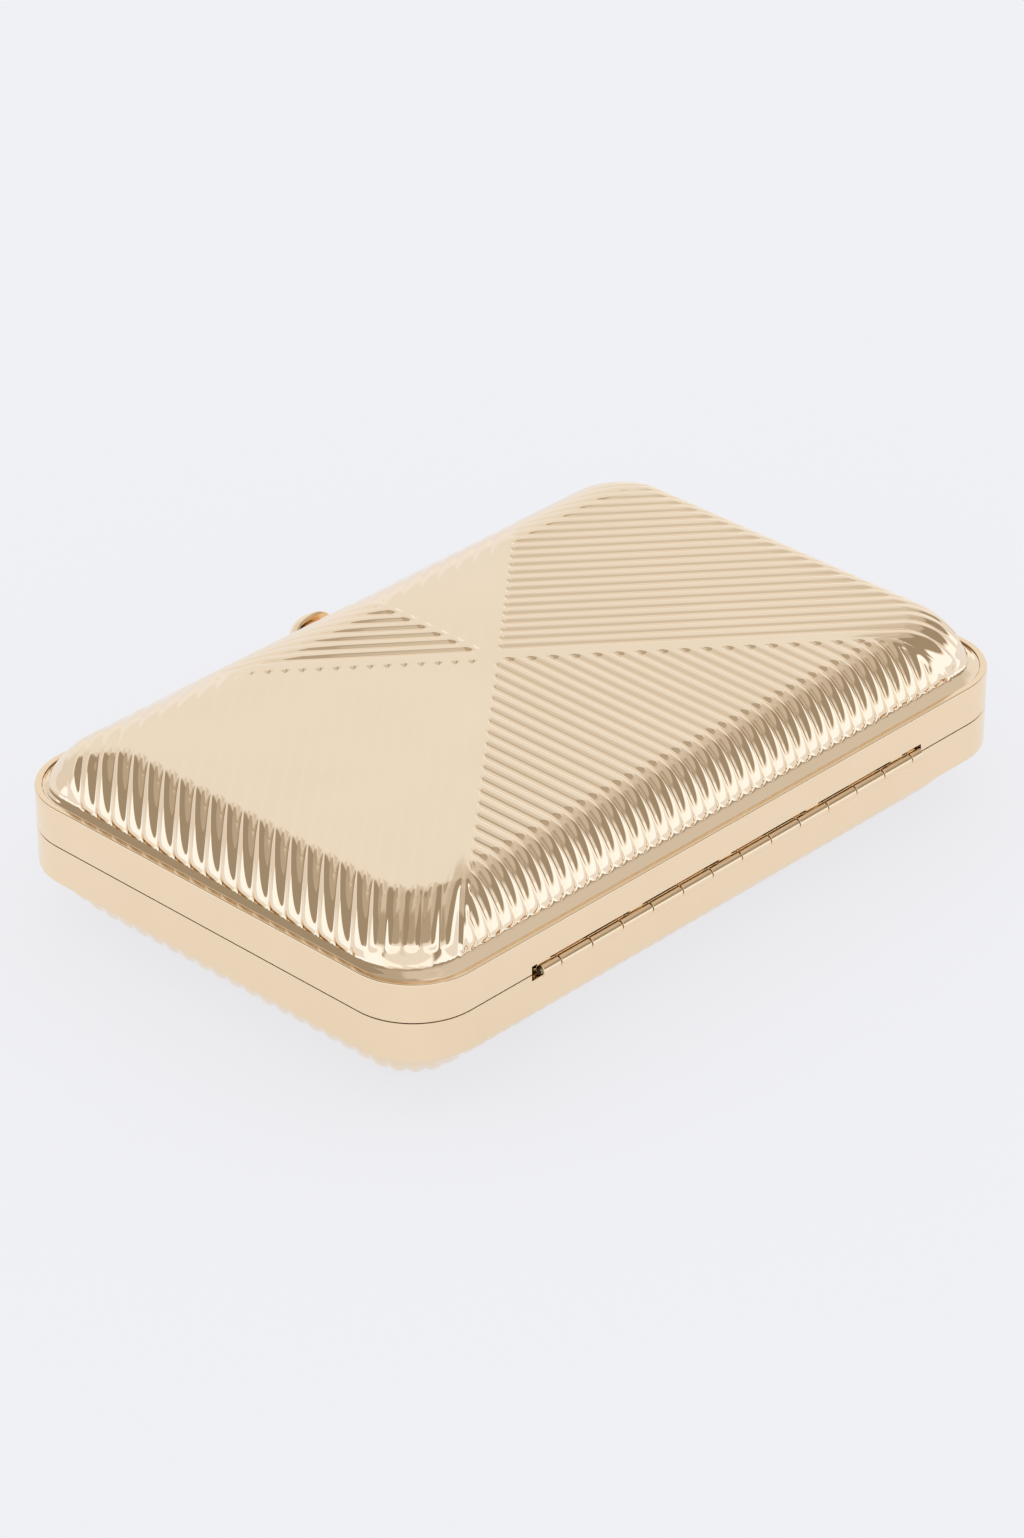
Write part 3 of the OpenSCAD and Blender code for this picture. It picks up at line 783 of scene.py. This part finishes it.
# Clasp: knob, stem and collar, all turned about one axis
CLASP_H = 4.3
CLASP_Z = SEAM_Z + CLASP_H
BUTTON_Y = 61.0
BUTTON_R = 6.2
BUTTON_TURNS = 96
DOME_BASE_R = 5.6
DOME_H = 4.6
DOME_GAP = 0.05
DOME_STEPS = 28
STEM_R = 1.5
STEM_CHAMFER = 0.1
NECK_R = 1.0
NECK_CHAMFER = 0.15
NECK_Y = (49.15, 55.6)
HOLLOW_R = 3.8
HOLLOW_H = 1.0
EDGE_H = 0.8
EDGE_BREAK = 0.12
COLLAR_TUBE_R = 2.5
COLLAR_GAP = 0.05
COLLAR_BORE_TURNS = 48
COLLAR_TURNS = 72
COLLAR_R = 3.4
COLLAR_CHAMFER = 0.15
COLLAR_Y = (55.7, HALF_W, HALF_W + 0.6)
TURNED_SHARP = 38

# Rolled edge of the knob: how far along from its back, or back from its dome, and how much less
# than the full radius
ROLL_BACK = ((0, 0.22), (0.06, 0.08), (0.2, 0), (0.42, 0))
ROLL_FRONT = ((0.2, 0.08), (0.06, 0.22), (0, 0.4))


def button_profile():
    """Outline of the knob with its stepped stem, from the stem's inner end to the dome's top."""
    edge = BUTTON_Y + EDGE_H
    hollow = BUTTON_Y + HOLLOW_H
    dome_r = (DOME_BASE_R ** 2 + DOME_H ** 2) / (2 * DOME_H)
    centre = edge + DOME_H - dome_r
    base_turn = math.asin(DOME_BASE_R / dome_r)
    neck_start, neck_end = NECK_Y
    profile = [(neck_start, 0), (neck_start, NECK_R - NECK_CHAMFER),
               (neck_start + NECK_CHAMFER, NECK_R), (neck_end, NECK_R),
               (neck_end, STEM_R - STEM_CHAMFER), (neck_end + STEM_CHAMFER, STEM_R),
               (hollow, STEM_R), (hollow, HOLLOW_R),
               (BUTTON_Y + EDGE_BREAK, HOLLOW_R), (BUTTON_Y, HOLLOW_R + EDGE_BREAK)]
    profile += [(BUTTON_Y + along, BUTTON_R - less) for along, less in ROLL_BACK]
    profile += [(edge - back, BUTTON_R - less) for back, less in ROLL_FRONT]
    profile.append((edge, DOME_BASE_R + DOME_GAP))
    for k in range(DOME_STEPS + 1):
        turn = base_turn * (1 - k / DOME_STEPS)
        profile.append((centre + dome_r * math.cos(turn), dome_r * math.sin(turn)))
    return profile


def collar_profile():
    """Outline of the flanged bush that guides the stem, from its inner end to its flange."""
    bore = STEM_R + COLLAR_GAP
    inner, face, outer = COLLAR_Y
    return [(inner, bore), (inner, COLLAR_TUBE_R - EDGE_BREAK), (inner + EDGE_BREAK, COLLAR_TUBE_R),
            (face, COLLAR_TUBE_R), (face, COLLAR_R), (outer - COLLAR_CHAMFER, COLLAR_R),
            (outer, COLLAR_R - COLLAR_CHAMFER), (outer, bore + EDGE_BREAK),
            (outer - EDGE_BREAK, bore)]


def turned_on_clasp(name, profile, count, node, body):
    """A turned piece on the clasp's axis."""
    piece = lathe(name, profile, lambda y, a, b: (a, y, CLASP_Z + b), count)
    mark_sharp(piece, TURNED_SHARP)
    dress(piece, node, body, "frame_metal")


# Linings, which follow the formed boards: up the wall, round the foot and over the floor
TRAY_LOW = 0.95
LINING_INSET = 5.12
LINING_DEPTH = 2.07
LINING_T = 0.45
LINING_KNEE = 7.6
LINING_TURNS = 16
LINING_SHARP = 60
WALL_RINGS = 7
SLOPE_RINGS = 13
FLOOR_RINGS = 10
FLOOR_INSETS = (TOP_INSET + 3, 50)
BOARD_START_INSET = FOOT_INSET - 0.5
BOARD_START_H = FRAME_TOP + 0.15
BOARD_FOOT_H = FRAME_TOP + 1.4
BOARD_FOOT_R = 18.0
BOARD_RUNS = (0, 0.40, 0.75, 1)
BOARD_RISES = (0, 0.57, 0.905, 1)

# Bays round the clasp: half their width, and the depth and height of each half's
BAY_HALF_W = 11.0
FRONT_BAY = (12.15, 8.2)
BACK_BAY = (7.5, 7.0)

# Waves of the stretched satin: how close, how deep, and over what height they begin
WAVE_SCALE = 0.09
WAVE_DEPTH = 0.14
WAVE_START = 4.0


def lining_section():
    """Insets and heights of the lining's glued face."""
    sheet = np.array([(BOARD_START_INSET, BOARD_START_H)]
                     + [(FOOT_INSET + (TOP_INSET - FOOT_INSET) * run,
                         BOARD_FOOT_H + (TOP_H - BOARD_FOOT_H) * rise)
                        for run, rise in zip(BOARD_RUNS, BOARD_RISES)])
    way = np.array([sheet[min(i + 1, len(sheet) - 1)] - sheet[i - 1] for i in range(1, len(sheet))])
    way /= np.linalg.norm(way, axis=1, keepdims=True)
    corners = sheet[1:] + LINING_DEPTH * np.column_stack([way[:, 1], -way[:, 0]])
    levels = np.linspace(0, len(corners) - 1, SLOPE_RINGS)
    slope = [(np.interp(t, range(len(corners)), corners[:, 0]),
              np.interp(t, range(len(corners)), corners[:, 1])) for t in levels]
    wall = [(LINING_INSET, h) for h in np.linspace(TRAY_LOW, LINING_KNEE, WALL_RINGS)]
    floor = [(d, corners[-1][1]) for d in np.linspace(*FLOOR_INSETS, FLOOR_RINGS)]
    return np.array([*wall, *slope, *floor])


def board_radius(d):
    """Corner radius of the formed board at inset d."""
    return np.interp(d, (FLANGE_INSET, FOOT_INSET, TOP_INSET),
                     (CORNER_R - FLANGE_INSET, BOARD_FOOT_R, TOP_R))


def lining_rings(section, side):
    """Points of the rings over a section, with the small waves of stretched satin."""
    points = []
    for d, h in section:
        r = board_radius(d)
        for cx, cy, ux, uy in corner_places(HALF_L - d, HALF_W - d, r, LINING_TURNS):
            x, y = cx + r * ux, cy + r * uy
            wave = mathutils.noise.noise(Vector((x, y, h)) * WAVE_SCALE)
            sink = WAVE_DEPTH * (1 + wave) * ease((h - TRAY_LOW) / WAVE_START)
            points.append((x, y, SEAM_Z + side * (h - sink)))
    return points


def lining_tray(name, node, body, side, bay):
    """Satin lining glued in a formed board, open round the clasp."""
    over = lining_section()
    run = np.gradient(over, axis=0)
    run /= np.linalg.norm(run, axis=1, keepdims=True)
    under = over + LINING_T * np.column_stack([run[:, 1], -run[:, 0]])
    section = np.concatenate([over[::-1], under])
    size = 4 * (LINING_TURNS + 1)
    points = lining_rings(section, side)
    faces = ring_faces(len(section), size, False)
    faces += [tuple(range(size)), tuple(range(len(points) - size, len(points)))]
    tray = tidy(make_mesh(name, points, faces))
    depth, height = bay
    outline = [(-BAY_HALF_W, -CUT_START), (BAY_HALF_W, -CUT_START),
               (BAY_HALF_W, height), (-BAY_HALF_W, height)]
    cutter = prism("cutter", outline, lambda u, v, end:
                   (u, HALF_W + CUT_START - end * (depth + CUT_START), SEAM_Z + side * v))
    combine(tray, cutter, "DIFFERENCE")
    mark_sharp(tray, LINING_SHARP)
    dress(tray, node, body, "lining")


# Materials

def node_material(name):
    material = bpy.data.materials.new(name)
    material.use_nodes = True
    tree = material.node_tree
    return material, tree, tree.nodes["Principled BSDF"]


def texture_coords(tree):
    return tree.nodes.new("ShaderNodeTexCoord").outputs["Object"]


def noise(tree, coords, scale, detail, stretch=(1, 1, 1)):
    """A noise texture in object space, stretched along the axes."""
    mapping = tree.nodes.new("ShaderNodeMapping")
    mapping.inputs["Scale"].default_value = stretch
    tree.links.new(coords, mapping.inputs["Vector"])
    node = tree.nodes.new("ShaderNodeTexNoise")
    node.inputs["Scale"].default_value = scale
    node.inputs["Detail"].default_value = detail
    tree.links.new(mapping.outputs["Vector"], node.inputs["Vector"])
    return node.outputs["Fac"]


def ramp(tree, source, low, high, start=0.35, end=0.65):
    """A colour ramp from low to high over a stretch of the source."""
    node = tree.nodes.new("ShaderNodeValToRGB")
    node.color_ramp.elements[0].position = start
    node.color_ramp.elements[0].color = (*low, 1)
    node.color_ramp.elements[1].position = end
    node.color_ramp.elements[1].color = (*high, 1)
    tree.links.new(source, node.inputs["Fac"])
    return node


def spread(tree, source, low, high, start=0.3, end=0.7):
    """A number from low to high over a stretch of the source."""
    node = tree.nodes.new("ShaderNodeMapRange")
    node.inputs["From Min"].default_value = start
    node.inputs["From Max"].default_value = end
    node.inputs["To Min"].default_value = low
    node.inputs["To Max"].default_value = high
    tree.links.new(source, node.inputs["Value"])
    return node


def paint(tree, shader, source, low, high):
    """Base colour from low to high with a texture."""
    tint = ramp(tree, source, low, high)
    tree.links.new(tint.outputs["Color"], shader.inputs["Base Color"])


def roughen(tree, shader, source, low, high):
    """Roughness from low to high with a texture."""
    rough = spread(tree, source, low, high)
    tree.links.new(rough.outputs["Result"], shader.inputs["Roughness"])


def emboss(tree, shader, source, strength, depth):
    """Relief of a texture, with its depth in metres."""
    bump = tree.nodes.new("ShaderNodeBump")
    bump.inputs["Strength"].default_value = strength
    bump.inputs["Distance"].default_value = depth
    tree.links.new(source, bump.inputs["Height"])
    tree.links.new(bump.outputs["Normal"], shader.inputs["Normal"])


def plated(name, pale, deep, smooth, haze, grain):
    """Polished gold plate: slow changes of tint, cloudy polish and a fine satin grain."""
    material, tree, shader = node_material(name)
    coords = texture_coords(tree)
    paint(tree, shader, noise(tree, coords, scale=38, detail=4), deep, pale)
    shader.inputs["Metallic"].default_value = 1
    polish = noise(tree, coords, scale=160, detail=5, stretch=(1, 1, 0.4))
    roughen(tree, shader, polish, smooth, haze)
    emboss(tree, shader, noise(tree, coords, scale=2600, detail=3), grain, depth=0.00002)
    return material


def brushed_steel():
    material, tree, shader = node_material("brushed_steel")
    lines = noise(tree, texture_coords(tree), scale=300, detail=4, stretch=(0.15, 4, 4))
    paint(tree, shader, lines, (0.40, 0.39, 0.37), (0.60, 0.59, 0.57))
    shader.inputs["Metallic"].default_value = 1
    roughen(tree, shader, lines, 0.24, 0.42)
    emboss(tree, shader, lines, strength=0.3, depth=0.00003)
    return material


def pressed_board():
    material, tree, shader = node_material("pressed_board")
    fibres = noise(tree, texture_coords(tree), scale=900, detail=6, stretch=(0.5, 1, 1))
    paint(tree, shader, fibres, (0.16, 0.12, 0.085), (0.27, 0.21, 0.15))
    roughen(tree, shader, fibres, 0.75, 0.92)
    emboss(tree, shader, fibres, strength=0.5, depth=0.00006)
    return material


def threads(tree, coords, axis, scale):
    """Close parallel threads across an axis."""
    wave = tree.nodes.new("ShaderNodeTexWave")
    wave.bands_direction = axis
    wave.inputs["Scale"].default_value = scale
    wave.inputs["Distortion"].default_value = 0.6
    tree.links.new(coords, wave.inputs["Vector"])
    return wave.outputs["Fac"]


def satin():
    """Fine satin lining: close warp and weft, and slow changes of sheen."""
    material, tree, shader = node_material("satin_lining")
    coords = texture_coords(tree)
    clouds = noise(tree, coords, scale=60, detail=3)
    paint(tree, shader, clouds, (0.020, 0.013, 0.009), (0.045, 0.028, 0.020))
    roughen(tree, shader, clouds, 0.38, 0.55)
    shader.inputs["Sheen Weight"].default_value = 0.35
    weave = number(tree, "MULTIPLY", threads(tree, coords, "X", 2200),
                   threads(tree, coords, "Y", 1500))
    emboss(tree, shader, weave, strength=0.35, depth=0.00005)
    return material


# Stage, light and camera

FLOOR_SIZE = 9.0
FLOOR_COLOUR = (0.873, 0.878, 0.913)
FLOOR_DEEP_SHARE = 0.992
FLOOR_GLOW = 0.80


def paper_floor():
    """Paper that mostly glows to the camera and in the metal, so that the shadow on it is pale."""
    material, tree, shader = node_material("paper_floor")
    clouds = noise(tree, texture_coords(tree), scale=3, detail=2)
    paint(tree, shader, clouds, [c * FLOOR_DEEP_SHARE for c in FLOOR_COLOUR], FLOOR_COLOUR)
    shader.inputs["Roughness"].default_value = 0.9
    shader.inputs["Specular IOR Level"].default_value = 0.1
    glow = tree.nodes.new("ShaderNodeEmission")
    glow.inputs["Color"].default_value = (*FLOOR_COLOUR, 1)
    path = tree.nodes.new("ShaderNodeLightPath")
    seen = number(tree, "MAXIMUM", path.outputs["Is Camera Ray"], path.outputs["Is Glossy Ray"])
    mix = tree.nodes.new("ShaderNodeMixShader")
    tree.links.new(number(tree, "MULTIPLY", seen, FLOOR_GLOW), mix.inputs["Fac"])
    tree.links.new(shader.outputs["BSDF"], mix.inputs[1])
    tree.links.new(glow.outputs["Emission"], mix.inputs[2])
    tree.links.new(mix.outputs["Shader"], tree.nodes["Material Output"].inputs["Surface"])
    return material


def build_floor():
    half = FLOOR_SIZE / 2 / MM
    corners = [(-half, -half, 0), (half, -half, 0), (half, half, 0), (-half, half, 0)]
    floor = make_mesh("floor", corners, [(0, 1, 2, 3)], smooth=False)
    floor.data.materials.append(paper_floor())


VIEW_BEARING = 44.14

# Sides of the studio, as metal shows them. Each row: bearing of its middle, left of the way the
# camera looks, half its width, lowest and highest elevation, softness of its edges sideways and
# up, all in degrees, and how bright it is. A later row lies over the earlier ones.
TENT = 0.86
STUDIO_SIDES = (
    (0, 180, 66, 100, 1, 12, 0.68),
    (180, 62, 38, 76, 16, 10, 0.46),
    (38, 26, 34, 66, 16, 8, 0.73),
    (30, 34, 56, 80, 10, 4, 0.48),
    (-38, 24, 34, 66, 16, 8, 0.68),
    (88, 48, 30, 84, 10, 10, 0.50),
    (88, 48, 23, 60, 8, 3, 0.37),
    (-90, 46, 30, 72, 16, 16, 0.60),
    (-90, 44, 13, 44, 10, 6, 0.37),
    (0, 180, -90, 17, 1, 2, 0.78),
    (110, 30, -90, 24, 6, 2, 1.32),
    (-98, 44, -90, 15, 8, 2, 1.32),
    (0, 34, 12, 42, 12, 6, 0.87),
    (0, 34, -90, 12, 12, 6, 0.92),
    (-15, 14, -90, 9, 8, 8, 1.12),
    (180, 44, -90, 24, 10, 3, 1.22),
)

# Colours of the light on those sides, from the dull ones through the plain ones to the brightest
SIDE_TINTS = ((0.40, (1.0, 0.85, 0.68)), (0.86, (1.0, 1.0, 1.0)), (1.06, (1.0, 1.0, 1.0)),
              (1.30, (0.80, 0.90, 1.0)))


def number(tree, operation, a, b=None):
    """Result of a sum on sockets or numbers."""
    node = tree.nodes.new("ShaderNodeMath")
    node.operation = operation
    for slot, value in enumerate((a, b)):
        if value is not None:
            put(tree, value, node.inputs[slot])
    return node.outputs["Value"]


def put(tree, value, socket):
    """Gives an input a number, or the value of another socket."""
    if isinstance(value, (int, float)):
        socket.default_value = value
    else:
        tree.links.new(value, socket)


def toward(tree, direction, bearing):
    """How far a direction points to a bearing."""
    turn = math.radians(VIEW_BEARING + bearing)
    node = tree.nodes.new("ShaderNodeVectorMath")
    node.operation = "DOT_PRODUCT"
    node.inputs[1].default_value = (math.cos(turn), math.sin(turn), 0)
    tree.links.new(direction, node.inputs[0])
    return node.outputs["Value"]


def soft_step(tree, source, start, end):
    """From 0 at start to 1 at end, in degrees."""
    node = spread(tree, source, 0, 1, math.radians(start), math.radians(end))
    node.interpolation_type = "SMOOTHSTEP"
    return node.outputs["Result"]


def share_of_side(tree, direction, elevation, side):
    """How much of a direction's light comes from one side of the studio."""
    bearing, half_w, low, high, soft_w, soft_h, _ = side
    across = number(tree, "ABSOLUTE", toward(tree, direction, bearing + 90))
    off = number(tree, "ARCTAN2", across, toward(tree, direction, bearing))
    inside = soft_step(tree, off, half_w + soft_w / 2, half_w - soft_w / 2)
    above = soft_step(tree, elevation, low - soft_h / 2, low + soft_h / 2)
    below = soft_step(tree, elevation, high + soft_h / 2, high - soft_h / 2)
    return number(tree, "MULTIPLY", number(tree, "MULTIPLY", inside, above), below)


def blend(tree, share, a, b):
    """A number between a and b."""
    mix = tree.nodes.new("ShaderNodeMix")
    tree.links.new(share, mix.inputs["Factor"])
    put(tree, a, mix.inputs["A"])
    put(tree, b, mix.inputs["B"])
    return mix.outputs["Result"]


def side_brightness(tree):
    """How bright the studio is in each direction."""
    direction = tree.nodes.new("ShaderNodeTexCoord").outputs["Generated"]
    split = tree.nodes.new("ShaderNodeSeparateXYZ")
    tree.links.new(direction, split.inputs["Vector"])
    elevation = number(tree, "ARCSINE", split.outputs["Z"])
    brightness = TENT
    for side in STUDIO_SIDES:
        share = share_of_side(tree, direction, elevation, side)
        brightness = blend(tree, share, brightness, side[-1])
    return brightness


def side_colour(tree, brightness):
    """Colour of the studio's light by its brightness."""
    (dull, dull_tint), *between, (top, top_tint) = SIDE_TINTS
    tint = ramp(tree, number(tree, "DIVIDE", brightness, top), dull_tint, top_tint, dull / top, 1)
    for bright, colour in between:
        tint.color_ramp.elements.new(bright / top).color = (*colour, 1)
    return tint.outputs["Color"]


def build_world():
    """A pale tent whose sides differ in the metal, and which lights everything else evenly."""
    world = bpy.data.worlds.new("studio")
    bpy.context.scene.world = world
    world.use_nodes = True
    tree = world.node_tree
    brightness = side_brightness(tree)
    colour = side_colour(tree, brightness)
    glossy = tree.nodes.new("ShaderNodeLightPath").outputs["Is Glossy Ray"]
    plain = tree.nodes.new("ShaderNodeMixRGB")
    tree.links.new(glossy, plain.inputs["Fac"])
    plain.inputs["Color1"].default_value = (1, 1, 1, 1)
    tree.links.new(colour, plain.inputs["Color2"])
    background = tree.nodes["Background"]
    tree.links.new(blend(tree, glossy, 1.0, brightness), background.inputs["Strength"])
    tree.links.new(plain.outputs["Color"], background.inputs["Color"])


CAMERA_PLACE = (-678.702, -656.978, 588.389)
CAMERA_YAW = -0.800
CAMERA_PITCH = 0.543
CAMERA_ROLL = -0.005
LENS = 124.04


def build_camera():
    data = bpy.data.cameras.new("camera")
    camera = bpy.data.objects.new("camera", data)
    bpy.context.scene.collection.objects.link(camera)
    data.sensor_width = 36
    data.lens = LENS
    data.clip_start = 0.05
    data.clip_end = 50
    back = Vector((math.sin(CAMERA_YAW) * math.cos(CAMERA_PITCH),
                   -math.cos(CAMERA_YAW) * math.cos(CAMERA_PITCH), math.sin(CAMERA_PITCH)))
    right = Vector((0, 0, 1)).cross(back).normalized()
    up = back.cross(right)
    cos, sin = math.cos(CAMERA_ROLL), math.sin(CAMERA_ROLL)
    turned = Matrix((cos * right + sin * up, cos * up - sin * right, back)).transposed()
    camera.matrix_world = Matrix.Translation(Vector(CAMERA_PLACE) * MM) @ turned.to_4x4()
    bpy.context.scene.camera = camera


build_camera()
build_floor()
build_world()
bpy.context.scene.view_settings.view_transform = "Standard"

FINISH = {
    "frame_metal": plated("frame_gold", (0.98, 0.785, 0.555), (0.97, 0.77, 0.535),
                          smooth=0.12, haze=0.20, grain=0.12),
    "shell_metal": plated("shell_gold", (0.96, 0.795, 0.60), (0.945, 0.78, 0.58),
                          smooth=0.012, haze=0.035, grain=0.04),
    "steel": brushed_steel(),
    "board": pressed_board(),
    "lining": satin(),
}
for part in frame["record"]["subparts"]:
    node = frame["nodes"][part["node"]]
    node.data.materials.clear()
    node.data.materials.append(FINISH[part["material_slot"]])

shell("front_shell_sheet", "front_shell", "lid", 1)
shell("back_shell_sheet", "back_shell", "back_half", -1)
front_band()
back_band()
hinge_leaf("front_leaf", "front_hinge_leaf", "lid", 1, first=1)
hinge_leaf("back_leaf", "back_hinge_leaf", "back_half", -1, first=0)
turned_on_clasp("domed_button", button_profile(), BUTTON_TURNS, "clasp_button", "clasp")
turned_on_clasp("stem_collar", collar_profile(), COLLAR_TURNS, "clasp_collar", "lid")
lining_tray("front_satin", "front_lining", "lid", 1, FRONT_BAY)
lining_tray("back_satin", "back_lining", "back_half", -1, BACK_BAY)
